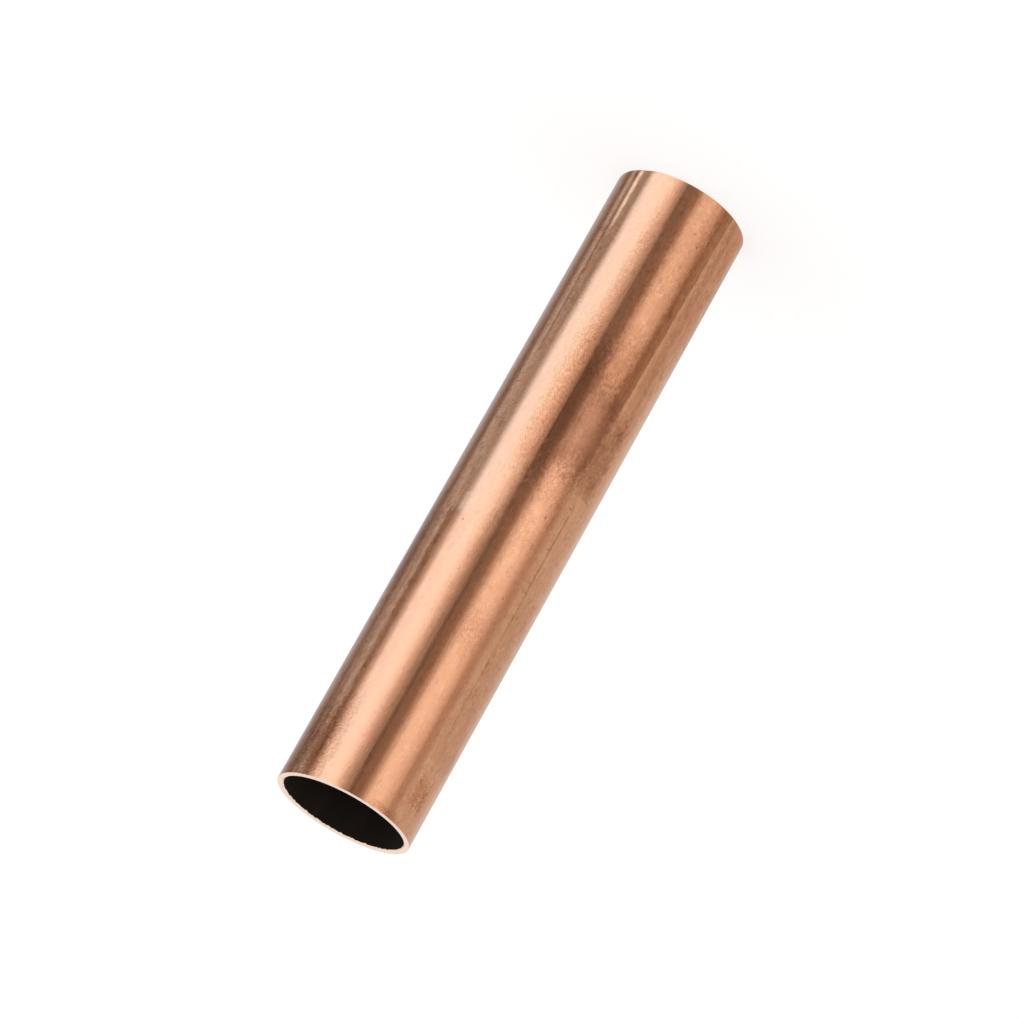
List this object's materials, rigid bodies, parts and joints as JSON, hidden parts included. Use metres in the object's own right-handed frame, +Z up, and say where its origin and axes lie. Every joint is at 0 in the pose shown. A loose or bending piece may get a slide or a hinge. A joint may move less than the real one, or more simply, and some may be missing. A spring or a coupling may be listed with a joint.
{
  "type": "copper pipe length",
  "caption": "Straight length of round drawn copper tube, open right through, cut square and deburred at both ends to take solder fittings.",
  "frame": {"origin": "the middle of the lower end, on the pipe's axis, at the floor that it stands on", "axes": "+Z up the pipe's axis, from the lower end to the upper one; the pipe is round, so X and Y are any two directions across it"},
  "size_m": [0.0286, 0.0286, 0.145],
  "materials": {
    "copper": "drawn copper, satin, with fine lines along it, handling stains and slight tarnish"
  },
  "bodies": {
    "root": {"copper_pipe": "copper"}
  },
  "joints": []
}
